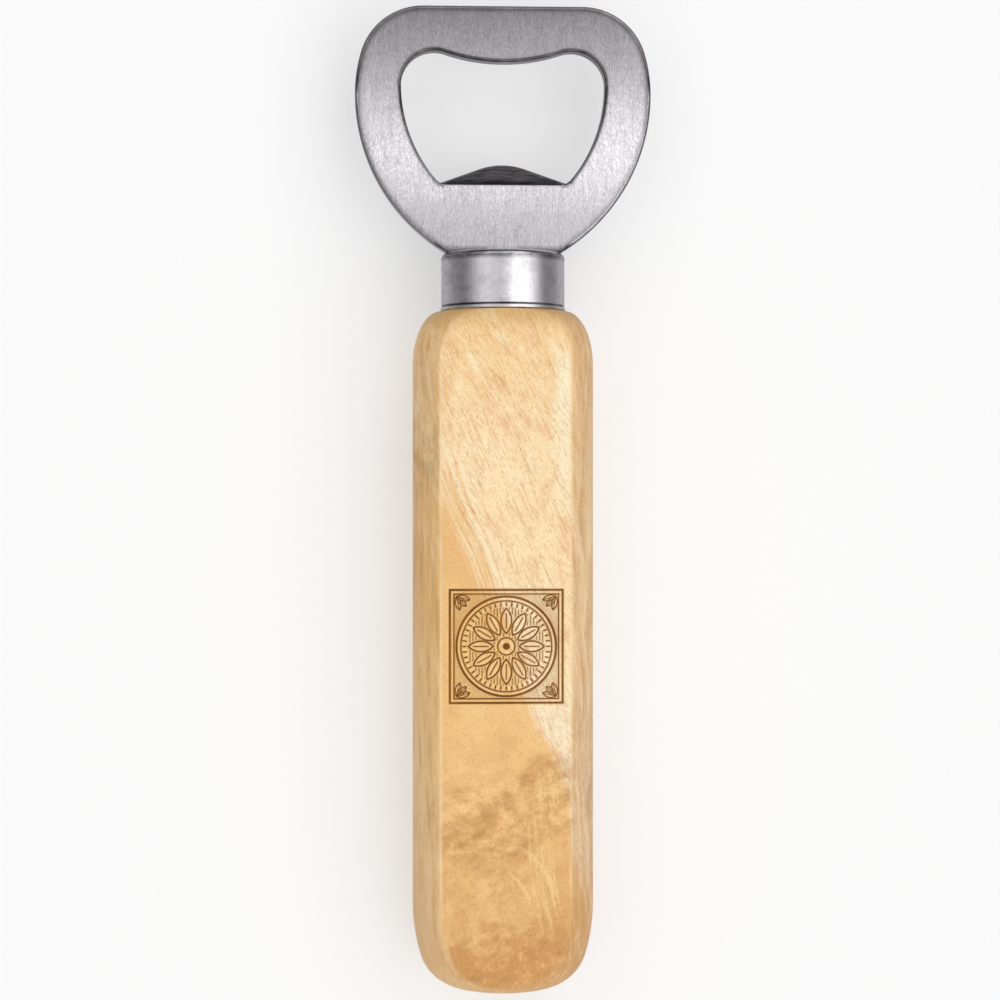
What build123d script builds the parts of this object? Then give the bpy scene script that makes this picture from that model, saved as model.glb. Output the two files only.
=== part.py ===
"""Souvenir bottle opener: a stamped steel head on a tang, a drawn steel ferrule and a wooden handle.

It lies on its back on a table. +Z is up through the decorated front face, +Y runs along the handle
towards the head, and the origin is on the table under the middle of the overall length.
All sizes are millimetres.
"""

from build123d import *
import math
import os

os.makedirs("parts", exist_ok=True)

# Overall sizes
LENGTH = 146.0
HANDLE_LENGTH = 100.7
HANDLE_RADIUS = 13.4
HANDLE_THICKNESS = 18.6
HEAD_WIDTH = 43.9

# Places along the length and the height of the centre line
BUTT_Y = -LENGTH / 2
SHOULDER_Y = BUTT_Y + HANDLE_LENGTH
HEAD_TOP_Y = LENGTH / 2
AXIS_Z = HANDLE_THICKNESS / 2
LONG_AXIS = Axis((0, 0, AXIS_Z), (0, 1, 0))
MID_PLANE = Plane.XY.offset(AXIS_Z)

# Ferrule: a drawn cap over the handle's tenon
FERRULE_HEIGHT = 8.7
FERRULE_RADIUS = 9.15
FERRULE_WALL = 0.8
FERRULE_TOP_ROUND = 0.9
FERRULE_INNER_ROUND = 0.4
LIP_HEIGHT = 0.6
LIP_PROUD = 0.08
LIP_BEVEL = 0.2
GROOVE_HEIGHT = 0.3
GROOVE_DEPTH = 0.14
FERRULE_TOP_Y = SHOULDER_Y + FERRULE_HEIGHT
CAP_UNDERSIDE_Y = FERRULE_TOP_Y - FERRULE_WALL

# Head plate
PLATE_THICKNESS = 3.0
PLATE_BOTTOM_Z = AXIS_Z - PLATE_THICKNESS / 2
PLATE_TOP_Z = AXIS_Z + PLATE_THICKNESS / 2
PLATE_EDGE_ROUND = 0.5
WIDEST_Y = 60.0
CORNER_RADIUS = 9.65
UPPER_SIDE_RADIUS = 21.4
LOWER_SIDE_RADIUS = 27.35
FOOT_ROUND = 0.8

# Opening in the head
OPENING_HALF_WIDTH = 15.15
OPENING_BOTTOM_Y = 46.4
LOBE_TOP_Y = 66.3
LOBE_RADIUS = 4.95
FULCRUM_Y = 64.65
OPENING_SIDE_RADIUS = 21.9
OPENING_CORNER_RADIUS = 1.1
OPENING_EDGE_ROUND = 0.35

# Tongue that hooks under the cap
TONGUE_ANGLE = 45.0
TONGUE_THICKNESS = 2.3
TONGUE_HALF_BASE = 10.25
TONGUE_PEAK = 4.1
TONGUE_TIP_RADIUS = 9.0
TONGUE_ROOT_RADIUS = 4.0
TONGUE_UNDER_RADIUS = 1.6
TONGUE_FOLD_RADIUS = 0.25
TONGUE_ROOT_DEPTH = 2.6

# Tang, its bore and the adhesive around it
TANG_WIDTH = 7.0
TANG_LENGTH = 34.0
TANG_POINT_LENGTH = 5.0
TANG_POINT_WIDTH = 2.6
BARB_DEPTH = 0.6
BARB_PITCH = 4.0
BARB_COUNT = 5
BARB_START = 8.0
SLOT_CLEARANCE = 0.15
BORE_RADIUS = 4.1
BORE_DEPTH = 40.0
DRILL_POINT_DEPTH = 2.4

# Turned wooden handle
TENON_RADIUS = FERRULE_RADIUS - FERRULE_WALL
TENON_CHAMFER = 0.5
TENON_GAP = 0.3
TENON_TOP_Y = CAP_UNDERSIDE_Y - TENON_GAP
SHOULDER_RADIUS = 9.35
SHOULDER_LENGTH = 8.0
BUTT_CROWN_RADIUS = 32.0
BUTT_CROWN_TURN = 13.0
BUTT_CORNER_RADIUS = 6.9
BUTT_CORNER_TURN = 60.5
FLAT_EDGE_ROUND = 0.3

# Engraved panel on the front face
PANEL_SIZE = 16.7
PANEL_Y = -21.45
ENGRAVING_DEPTH = 0.22
WIDE_LINE = 0.32
FINE_LINE = 0.2
INNER_FRAME_SIZE = 15.4
OUTER_RING_RADIUS = 7.4
INNER_RING_RADIUS = 6.7
TICK_COUNT = 48
TICK_MID_RADIUS = 6.1
TICK_LENGTH = 0.6
PETAL_COUNT = 12
PETAL_START = 1.75
PETAL_LENGTH = 3.9
PETAL_WIDTH = 1.75
RIB_LENGTH = 2.3
HUB_RADIUS = 1.35
HUB_DOT_RADIUS = 0.5
LEAF_LENGTH = 2.2
LEAF_WIDTH = 0.95
LEAF_CORNER = 7.3
LEAF_FAN = (-30.0, 0.0, 30.0)


def tangent_point(big_centre, small_centre, big_radius):
    """Where a big circle and a smaller one inside it touch."""
    return big_centre + (small_centre - big_centre).normalized() * big_radius


def head_outline():
    """Right half of the head's outline, from the middle of its top to the middle of its foot."""
    half_width = HEAD_WIDTH / 2
    upper_centre = Vector(half_width - UPPER_SIDE_RADIUS, WIDEST_Y)
    corner_y = HEAD_TOP_Y - CORNER_RADIUS
    reach = UPPER_SIDE_RADIUS - CORNER_RADIUS
    corner_x = upper_centre.X + math.sqrt(reach**2 - (corner_y - WIDEST_Y) ** 2)
    corner_centre = Vector(corner_x, corner_y)
    corner_end = tangent_point(upper_centre, corner_centre, UPPER_SIDE_RADIUS)
    drop = WIDEST_Y - FERRULE_TOP_Y
    foot_x = half_width - LOWER_SIDE_RADIUS + math.sqrt(LOWER_SIDE_RADIUS**2 - drop**2)
    top = Line((0, HEAD_TOP_Y), (corner_x, HEAD_TOP_Y))
    corner = RadiusArc(top @ 1, corner_end, CORNER_RADIUS)
    upper = RadiusArc(corner @ 1, (half_width, WIDEST_Y), UPPER_SIDE_RADIUS)
    lower = RadiusArc(upper @ 1, (foot_x, FERRULE_TOP_Y), LOWER_SIDE_RADIUS)
    Line(lower @ 1, (0, FERRULE_TOP_Y))


def opening_outline():
    """Right half of the opening's outline, from the fulcrum's middle down to the tongue's root."""
    lobe_centre = Vector(OPENING_HALF_WIDTH - LOBE_RADIUS, LOBE_TOP_Y - LOBE_RADIUS)
    rise = FULCRUM_Y - lobe_centre.Y
    bulge_radius = (lobe_centre.X**2 + rise**2 - LOBE_RADIUS**2) / (2 * (LOBE_RADIUS - rise))
    bulge_centre = Vector(0, FULCRUM_Y + bulge_radius)
    turn = tangent_point(bulge_centre, lobe_centre, bulge_radius)
    drop = lobe_centre.Y - OPENING_BOTTOM_Y
    side_x = OPENING_HALF_WIDTH - OPENING_SIDE_RADIUS
    foot_x = side_x + math.sqrt(OPENING_SIDE_RADIUS**2 - drop**2)
    bulge = RadiusArc((0, FULCRUM_Y), turn, -bulge_radius)
    lobe = RadiusArc(bulge @ 1, (OPENING_HALF_WIDTH, lobe_centre.Y), LOBE_RADIUS)
    side = RadiusArc(lobe @ 1, (foot_x, OPENING_BOTTOM_Y), OPENING_SIDE_RADIUS)
    Line(side @ 1, (0, OPENING_BOTTOM_Y))


def tang_outline():
    """Right half of the tang's outline: straight, then barbed, then pointed."""
    half = TANG_WIDTH / 2
    y = FERRULE_TOP_Y - BARB_START
    points = [(0, FERRULE_TOP_Y + 1), (half, FERRULE_TOP_Y + 1), (half, y)]
    for index in range(BARB_COUNT):
        points.append((half - BARB_DEPTH, y))
        y -= BARB_PITCH
        points.append((half, y))
    tip_y = FERRULE_TOP_Y - TANG_LENGTH
    points.append((half, tip_y + TANG_POINT_LENGTH))
    points.append((TANG_POINT_WIDTH / 2, tip_y))
    points.append((0, tip_y))
    Polyline(*points)


def leaf(length, width, line=0.0):
    """A pointed leaf along +X from the origin, drawn smaller all round by a line's width."""
    bow = width / 2
    full_radius = ((length / 2) ** 2 + bow**2) / (2 * bow)
    radius = full_radius - line
    half_chord = math.sqrt(radius**2 - (full_radius - bow) ** 2)
    start = (length / 2 - half_chord, 0)
    end = (length / 2 + half_chord, 0)
    with BuildSketch(mode=Mode.PRIVATE) as shape:
        with BuildLine():
            RadiusArc(start, end, radius)
            RadiusArc(end, start, radius)
        make_face()
    return shape.sketch


# The tongue is bent down out of the plate, so it is its side profile cut to its plan shape
with BuildPart() as tongue:
    with BuildSketch(Plane.YZ) as tongue_side:
        slope = math.tan(math.radians(TONGUE_ANGLE))
        reach = TONGUE_PEAK + 1.0
        under = TONGUE_THICKNESS / math.cos(math.radians(TONGUE_ANGLE))
        root_y = OPENING_BOTTOM_Y - TONGUE_ROOT_DEPTH
        fold = (OPENING_BOTTOM_Y, PLATE_TOP_Z)
        tip = (OPENING_BOTTOM_Y + reach, PLATE_TOP_Z - reach * slope)
        elbow = (OPENING_BOTTOM_Y - (under - PLATE_THICKNESS) / slope, PLATE_BOTTOM_Z)
        with BuildLine():
            Polyline(
                (root_y, PLATE_TOP_Z),
                fold,
                tip,
                (tip[0], tip[1] - under),
                elbow,
                (root_y, PLATE_BOTTOM_Z),
                close=True,
            )
        make_face()
        fillet(tongue_side.vertices().sort_by_distance(fold)[0], TONGUE_FOLD_RADIUS)
        fillet(tongue_side.vertices().sort_by_distance(elbow)[0], TONGUE_UNDER_RADIUS)
    extrude(amount=HEAD_WIDTH / 3, both=True)
    with BuildSketch() as tongue_plan:
        half_root = TONGUE_HALF_BASE + TONGUE_ROOT_RADIUS / 2
        peak = (0, OPENING_BOTTOM_Y + TONGUE_PEAK)
        with BuildLine():
            Polyline(
                (-half_root, root_y),
                (half_root, root_y),
                (half_root, OPENING_BOTTOM_Y),
                (TONGUE_HALF_BASE, OPENING_BOTTOM_Y),
                peak,
                (-TONGUE_HALF_BASE, OPENING_BOTTOM_Y),
                (-half_root, OPENING_BOTTOM_Y),
                close=True,
            )
        make_face()
        fillet(tongue_plan.vertices().sort_by_distance(peak)[0], TONGUE_TIP_RADIUS)
        roots = tongue_plan.vertices().sort_by_distance((TONGUE_HALF_BASE, OPENING_BOTTOM_Y))
        fillet(roots[0], TONGUE_ROOT_RADIUS)
        roots = tongue_plan.vertices().sort_by_distance((-TONGUE_HALF_BASE, OPENING_BOTTOM_Y))
        fillet(roots[0], TONGUE_ROOT_RADIUS)
    extrude(amount=HANDLE_THICKNESS, mode=Mode.INTERSECT)

# Head: one stamping with its opening, its tongue and its tang
with BuildPart() as opener_head:
    with BuildSketch(Plane.XY.offset(PLATE_BOTTOM_Z)) as plate:
        with BuildLine():
            head_outline()
            mirror(about=Plane.YZ)
        make_face()
        feet = plate.vertices().group_by(Axis.Y)[0].sort_by(Axis.X)
        fillet([feet[0], feet[-1]], FOOT_ROUND)
        with BuildLine():
            opening_outline()
            mirror(about=Plane.YZ)
        make_face(mode=Mode.SUBTRACT)
        sill = (OPENING_BOTTOM_Y - 0.01, OPENING_BOTTOM_Y + 0.01)
        corners = plate.vertices().filter_by_position(Axis.Y, *sill).sort_by(Axis.X)
        fillet([corners[0], corners[-1]], OPENING_CORNER_RADIUS)
    extrude(amount=PLATE_THICKNESS)
    flats = opener_head.faces().filter_by(Axis.Z)
    fillet([flat.outer_wire().edges() for flat in flats], PLATE_EDGE_ROUND)
    flats = opener_head.faces().filter_by(Axis.Z)
    fillet([flat.inner_wires()[0].edges() for flat in flats], OPENING_EDGE_ROUND)
    add(tongue.part)
    with BuildSketch(Plane.XY.offset(PLATE_BOTTOM_Z)):
        with BuildLine():
            tang_outline()
            mirror(about=Plane.YZ)
        make_face()
    extrude(amount=PLATE_THICKNESS)

# Ferrule: turned profile of the drawn cap, with a slot for the tang
with BuildPart() as ferrule:
    with BuildSketch(MID_PLANE) as ferrule_section:
        lip_radius = FERRULE_RADIUS + LIP_PROUD
        lip_top = SHOULDER_Y + LIP_HEIGHT
        with BuildLine():
            Polyline(
                (0, FERRULE_TOP_Y),
                (FERRULE_RADIUS, FERRULE_TOP_Y),
                (FERRULE_RADIUS, lip_top + GROOVE_HEIGHT),
                (FERRULE_RADIUS - GROOVE_DEPTH, lip_top + GROOVE_HEIGHT / 2),
                (lip_radius, lip_top),
                (lip_radius, SHOULDER_Y + LIP_BEVEL),
                (lip_radius - LIP_BEVEL, SHOULDER_Y),
                (TENON_RADIUS, SHOULDER_Y),
                (TENON_RADIUS, CAP_UNDERSIDE_Y),
                (0, CAP_UNDERSIDE_Y),
                close=True,
            )
        make_face()
        rim = ferrule_section.vertices().sort_by_distance((FERRULE_RADIUS, FERRULE_TOP_Y))
        fillet(rim[0], FERRULE_TOP_ROUND)
        inner = ferrule_section.vertices().sort_by_distance((TENON_RADIUS, CAP_UNDERSIDE_Y))
        fillet(inner[0], FERRULE_INNER_ROUND)
    revolve(axis=LONG_AXIS)
    with BuildSketch(MID_PLANE):
        with Locations((0, FERRULE_TOP_Y)):
            Rectangle(TANG_WIDTH + 2 * SLOT_CLEARANCE, 4 * FERRULE_WALL)
    extrude(amount=PLATE_THICKNESS / 2 + SLOT_CLEARANCE, both=True, mode=Mode.SUBTRACT)

# Handle: turned wood with a tenon, a blind bore and two flats, engraved on the front flat
with BuildPart() as handle:
    with BuildSketch(MID_PLANE) as handle_section:
        flank_turn = 90 - BUTT_CROWN_TURN - BUTT_CORNER_TURN
        ellipse_y = SHOULDER_Y - SHOULDER_LENGTH
        bore_end = TENON_TOP_Y - BORE_DEPTH
        with BuildLine():
            crown = JernArc((0, BUTT_Y), (1, 0), BUTT_CROWN_RADIUS, BUTT_CROWN_TURN)
            corner = JernArc(crown @ 1, crown % 1, BUTT_CORNER_RADIUS, BUTT_CORNER_TURN)
            room = HANDLE_RADIUS - (corner @ 1).X
            flank_radius = room / (1 - math.cos(math.radians(flank_turn)))
            flank = JernArc(corner @ 1, corner % 1, flank_radius, flank_turn)
            side = Line(flank @ 1, (HANDLE_RADIUS, ellipse_y))
            shoulder = EllipticalCenterArc(
                (SHOULDER_RADIUS, ellipse_y),
                HANDLE_RADIUS - SHOULDER_RADIUS,
                SHOULDER_LENGTH,
                start_angle=0,
                arc_size=90,
            )
            Polyline(
                shoulder @ 1,
                (TENON_RADIUS, SHOULDER_Y),
                (TENON_RADIUS, TENON_TOP_Y - TENON_CHAMFER),
                (TENON_RADIUS - TENON_CHAMFER, TENON_TOP_Y),
                (BORE_RADIUS, TENON_TOP_Y),
                (BORE_RADIUS, bore_end),
                (0, bore_end - DRILL_POINT_DEPTH),
                (0, BUTT_Y),
            )
        make_face()
    revolve(axis=LONG_AXIS)
    with BuildSketch():
        Rectangle(3 * HANDLE_RADIUS, 2 * LENGTH)
    extrude(amount=HANDLE_THICKNESS, mode=Mode.INTERSECT)
    outer_flats = handle.faces().filter_by(Axis.Z)
    fillet([flat.outer_wire().edges() for flat in outer_flats], FLAT_EDGE_ROUND)
    with BuildSketch(Plane.XY.offset(HANDLE_THICKNESS)):
        with Locations((0, PANEL_Y)):
            Rectangle(PANEL_SIZE, PANEL_SIZE)
            Rectangle(PANEL_SIZE - 2 * WIDE_LINE, PANEL_SIZE - 2 * WIDE_LINE, mode=Mode.SUBTRACT)
            Rectangle(INNER_FRAME_SIZE, INNER_FRAME_SIZE)
            Rectangle(INNER_FRAME_SIZE - 2 * FINE_LINE, INNER_FRAME_SIZE - 2 * FINE_LINE, mode=Mode.SUBTRACT)
            Circle(OUTER_RING_RADIUS)
            Circle(OUTER_RING_RADIUS - WIDE_LINE, mode=Mode.SUBTRACT)
            Circle(INNER_RING_RADIUS)
            Circle(INNER_RING_RADIUS - FINE_LINE, mode=Mode.SUBTRACT)
            Circle(HUB_RADIUS)
            Circle(HUB_RADIUS - FINE_LINE, mode=Mode.SUBTRACT)
            Circle(HUB_DOT_RADIUS)
            with PolarLocations(TICK_MID_RADIUS, TICK_COUNT):
                Rectangle(TICK_LENGTH, FINE_LINE)
            with PolarLocations(PETAL_START, PETAL_COUNT):
                add(leaf(PETAL_LENGTH, PETAL_WIDTH))
                add(leaf(PETAL_LENGTH, PETAL_WIDTH, FINE_LINE), mode=Mode.SUBTRACT)
            with PolarLocations(PETAL_START + 0.8 + RIB_LENGTH / 2, PETAL_COUNT):
                Rectangle(RIB_LENGTH, FINE_LINE * 0.8)
            for quarter in range(4):
                heading = 45 + 90 * quarter
                turn = math.radians(heading)
                corner_x = LEAF_CORNER * math.sqrt(2) * math.cos(turn)
                corner_y = LEAF_CORNER * math.sqrt(2) * math.sin(turn)
                with Locations((corner_x, corner_y)):
                    for spread in LEAF_FAN:
                        add(leaf(LEAF_LENGTH, LEAF_WIDTH), rotation=heading + 180 + spread)
    extrude(amount=-ENGRAVING_DEPTH, mode=Mode.SUBTRACT)

# Adhesive: fills the bore around the tang and the gap under the ferrule's cap
with BuildPart() as tang_adhesive:
    with BuildSketch(MID_PLANE):
        bore_end = TENON_TOP_Y - BORE_DEPTH
        with BuildLine():
            Polyline(
                (0, CAP_UNDERSIDE_Y),
                (TENON_RADIUS - TENON_CHAMFER, CAP_UNDERSIDE_Y),
                (TENON_RADIUS - TENON_CHAMFER, TENON_TOP_Y),
                (BORE_RADIUS, TENON_TOP_Y),
                (BORE_RADIUS, bore_end),
                (0, bore_end - DRILL_POINT_DEPTH),
                close=True,
            )
        make_face()
    revolve(axis=LONG_AXIS)
    add(opener_head.part, mode=Mode.SUBTRACT)

opener_head.part.label = "opener_head"
ferrule.part.label = "ferrule"
handle.part.label = "handle"
tang_adhesive.part.label = "tang_adhesive"

export_step(opener_head.part, "parts/opener_head.step")
export_step(ferrule.part, "parts/ferrule.step")
export_step(handle.part, "parts/handle.step")
export_step(tang_adhesive.part, "parts/tang_adhesive.step")

for piece in (opener_head, ferrule, handle, tang_adhesive):
    box = piece.part.bounding_box()
    print(piece.part.label, len(piece.part.solids()), round(piece.part.volume, 1), box)
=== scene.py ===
"""Souvenir bottle opener, looks: engraved wooden handle, steel ferrule and brushed steel head."""

import math

import bpy
import numpy as np
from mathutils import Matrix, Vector
from mathutils.geometry import delaunay_2d_cdt


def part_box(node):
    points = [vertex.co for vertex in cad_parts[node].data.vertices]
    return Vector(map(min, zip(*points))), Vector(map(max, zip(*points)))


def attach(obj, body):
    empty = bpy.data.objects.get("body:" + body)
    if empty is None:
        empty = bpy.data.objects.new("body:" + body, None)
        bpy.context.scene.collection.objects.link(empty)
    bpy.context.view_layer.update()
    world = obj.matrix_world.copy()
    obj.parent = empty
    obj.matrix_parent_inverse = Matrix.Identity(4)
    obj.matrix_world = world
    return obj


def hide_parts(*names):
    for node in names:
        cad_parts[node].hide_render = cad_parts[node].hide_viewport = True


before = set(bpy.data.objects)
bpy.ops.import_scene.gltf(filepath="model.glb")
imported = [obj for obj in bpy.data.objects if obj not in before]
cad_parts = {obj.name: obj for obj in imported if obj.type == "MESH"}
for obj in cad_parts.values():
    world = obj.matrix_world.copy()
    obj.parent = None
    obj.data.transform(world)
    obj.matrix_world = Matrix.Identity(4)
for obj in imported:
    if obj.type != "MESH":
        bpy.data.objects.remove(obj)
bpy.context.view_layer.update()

MM = 0.001
SCENE = bpy.context.scene

# ---------------------------------------------------------------- places read from the frame, in millimetres

HANDLE_LOW, HANDLE_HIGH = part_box("handle")
FERRULE_LOW, FERRULE_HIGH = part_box("ferrule")
HEAD_LOW, HEAD_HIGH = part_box("opener_head")
AXIS_Z = (HANDLE_LOW.z + HANDLE_HIGH.z) / 2 / MM
HALF_THICKNESS = AXIS_Z
HANDLE_RADIUS = HANDLE_HIGH.x / MM
BUTT_Y = HANDLE_LOW.y / MM
TENON_TOP_Y = HANDLE_HIGH.y / MM
HEAD_TOP_Y = HEAD_HIGH.y / MM
HALF_HEAD = HEAD_HIGH.x / MM
TANG_TIP_Y = HEAD_LOW.y / MM
PLATE_TOP_Z = HEAD_HIGH.z / MM
PLATE_BOTTOM_Z = 2 * AXIS_Z - PLATE_TOP_Z
SHOULDER_Y = FERRULE_LOW.y / MM
FERRULE_TOP_Y = FERRULE_HIGH.y / MM

# ---------------------------------------------------------------- node helpers


class Nodes:
    """Short forms for building a node tree."""

    def __init__(self, tree):
        self.tree = tree
        tree.nodes.clear()

    def add(self, kind, inputs=None, **settings):
        node = self.tree.nodes.new(kind)
        for name, value in settings.items():
            setattr(node, name, value)
        for key, value in (inputs or {}).items():
            self.put(node.inputs[key], value)
        return node

    def put(self, socket, value):
        if isinstance(value, bpy.types.NodeSocket):
            self.tree.links.new(value, socket)
        elif isinstance(value, bpy.types.Node):
            self.tree.links.new(value.outputs[0], socket)
        else:
            socket.default_value = value

    def math(self, operation, a, b=0.0, c=0.0, clamp=False):
        node = self.add("ShaderNodeMath", {0: a, 1: b, 2: c}, operation=operation, use_clamp=clamp)
        return node.outputs[0]

    def plus(self, a, b, clamp=False):
        return self.math("ADD", a, b, clamp=clamp)

    def minus(self, a, b):
        return self.math("SUBTRACT", a, b)

    def times(self, first, *others):
        for other in others:
            first = self.math("MULTIPLY", first, other)
        return first

    def away(self, value, middle):
        """How far a value is from a middle one, on either side."""
        return self.math("ABSOLUTE", self.minus(value, middle))

    def weighted(self, parts):
        """The sum of (value, weight) pairs."""
        total = self.times(*parts[0])
        for value, weight in parts[1:]:
            total = self.plus(total, self.times(value, weight))
        return total

    def ramp(self, value, low, high, out_low=0.0, out_high=1.0, smooth=True):
        kind = "SMOOTHSTEP" if smooth else "LINEAR"
        inputs = {"Value": value, "From Min": low, "From Max": high, "To Min": out_low, "To Max": out_high}
        return self.add("ShaderNodeMapRange", inputs, interpolation_type=kind).outputs[0]

    def mix(self, factor, a, b):
        inputs = {0: factor, 6: a, 7: b}
        return self.add("ShaderNodeMix", inputs, data_type="RGBA", clamp_factor=True).outputs[2]

    def noise(self, vector, detail=2.0, rough=0.5, distort=0.0):
        figure = {"Scale": 1.0, "Detail": detail, "Roughness": rough, "Distortion": distort}
        return self.add("ShaderNodeTexNoise", {"Vector": vector, **figure}).outputs[0]

    def attribute(self, name):
        """A value stored at the points of the mesh."""
        return self.add("ShaderNodeAttribute", attribute_name=name).outputs["Fac"]

    def object_place(self):
        """The place on the object, in millimetres."""
        return self.place(self.add("ShaderNodeTexCoord").outputs["Object"], (MM, MM, MM))

    def place(self, vector, size=(1, 1, 1), turn=0.0, shift=(0, 0, 0)):
        """Coordinates turned about z by some degrees and then counted in features of the given size."""
        rotation = (0, 0, math.radians(turn))
        inputs = {"Vector": vector, "Scale": size, "Rotation": rotation, "Location": shift}
        return self.add("ShaderNodeMapping", inputs, vector_type="TEXTURE").outputs[0]

    def curve(self, value, stops):
        """A value looked up between (place, level) stops; levels run from 0 to 4."""
        low, high = stops[0][0], stops[-1][0]
        share = self.ramp(value, low, high, smooth=False)
        node = self.add("ShaderNodeValToRGB")
        self.put(node.inputs[0], share)
        elements = node.color_ramp.elements
        while len(elements) < len(stops):
            elements.new(0.5)
        for element, (where, level) in zip(elements, stops):
            element.position = (where - low) / (high - low)
            element.color = (level / 4, level / 4, level / 4, 1)
        return self.math("MULTIPLY", node.outputs[0], 4.0)

    def warp(self, vector, size, amount):
        """Coordinates pushed about by a slow noise, so that straight figures bend."""
        inputs = {"Vector": self.place(vector, (size, size, size)), "Scale": 1.0, "Detail": 1.0}
        noise = self.add("ShaderNodeTexNoise", inputs).outputs["Color"]
        push = self.add("ShaderNodeVectorMath", {0: noise, 1: (0.5, 0.5, 0.5)}, operation="SUBTRACT")
        push = self.add("ShaderNodeVectorMath", {0: push, 1: (amount, amount, amount)}, operation="MULTIPLY")
        return self.add("ShaderNodeVectorMath", {0: vector, 1: push}, operation="ADD").outputs[0]

    def spot(self, x, y, middle, reach):
        """1 in the middle of an oval patch, fading to 0 at its rim."""
        across = self.math("DIVIDE", self.minus(x, middle[0]), reach[0])
        along = self.math("DIVIDE", self.minus(y, middle[1]), reach[1])
        square = self.plus(self.times(across, across), self.times(along, along))
        return self.ramp(square, 1.0, 0.0)

    def bump(self, height, strength, distance):
        inputs = {"Height": height, "Strength": strength, "Distance": distance}
        return self.add("ShaderNodeBump", inputs).outputs[0]

    def surface(self, **inputs):
        """A principled surface; its inputs are named with underscores for spaces."""
        named = {name.replace("_", " "): value for name, value in inputs.items()}
        return self.add("ShaderNodeBsdfPrincipled", named).outputs[0]

    def output(self, surface):
        self.add("ShaderNodeOutputMaterial", {0: surface})


def new_material(name):
    material = bpy.data.materials.new(name)
    material.use_nodes = True
    return material, Nodes(material.node_tree)


def srgb(red, green, blue):
    """A colour given as 0-255 screen values, as the linear values that a shader takes."""
    shares = [c / 255 for c in (red, green, blue)]
    out = [c / 12.92 if c <= 0.04045 else ((c + 0.055) / 1.055) ** 2.4 for c in shares]
    return (*out, 1.0)


# ---------------------------------------------------------------- meshes, in millimetres


def mesh_object(name, points, faces):
    """A new smooth-shaded object from an array of points in millimetres and a list of faces."""
    mesh = bpy.data.meshes.new(name)
    mesh.from_pydata([tuple(p) for p in (np.asarray(points) * MM).tolist()], [], faces)
    mesh.polygons.foreach_set("use_smooth", np.full(len(mesh.polygons), True))
    mesh.validate()
    thing = bpy.data.objects.new(name, mesh)
    SCENE.collection.objects.link(thing)
    return thing


def store(thing, name, values):
    """Keeps a value at each point of the mesh, for its material."""
    layer = thing.data.attributes.new(name, "FLOAT", "POINT")
    layer.data.foreach_set("value", np.asarray(values, np.float32))


# The turned handle, by the same driving sizes as the CAD part; an arc is (radius, turn in degrees).
PROFILE_CROWN = (32.0, 13.0)
PROFILE_CORNER = (6.9, 60.5)
SHOULDER_RADIUS = 9.35
SHOULDER_LENGTH = 8.0
TENON_RADIUS = 8.35
TENON_CHAMFER = 0.5
BORE_RADIUS = 4.1
BORE_DEPTH = 40.0
DRILL_POINT = 2.4
WALL_STEP = 0.9
EDGE_SHARPNESS = 45.0
FACE_FADE = 0.6
ARRIS_WIDTH = 0.13

# The engraved panel: its place, the hole in the coarse surface and the fine grid that fills it.
PANEL_Y = -21.45
PANEL_HOLE = 9.0
HOLE_TOLERANCE = (0.02, 0.001)
PATCH_HALF = 8.7
PATCH_CELLS = 214
ENGRAVING_DEPTH = 0.2
HALO_ROUNDS = 6

# The engraving's drawing, from the panel's middle; a line is (half side or radius, width).
LINE_SOFTNESS = 0.09
SQUARES = ((8.2, 0.3), (7.6, 0.2))
RINGS = ((7.24, 0.32), (6.6, 0.2), (1.25, 0.2))
HUB_RADIUS = 0.5
TICKS = 48
TICK_RADIUS = 6.1
HALF_TICK = 0.3
PETALS = 12
PETAL_START = 1.75
PETAL_SIZE = (3.9, 1.75)
RIB_MIDDLE = 1.95
HALF_RIB = 1.15
HATCH_PITCH = 0.44
HATCH_RINGS = (1.5, 5.7)
HATCH_DEPTH = 0.8
CORNER_LEAVES = (-30.0, 0.0, 30.0)
CORNER = 7.3
LEAF_SIZE = (2.2, 0.95)
SLANT_PITCH = 0.4
SLANT_EDGE = 7.45
SLANT_DEPTH = 0.5


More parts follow.
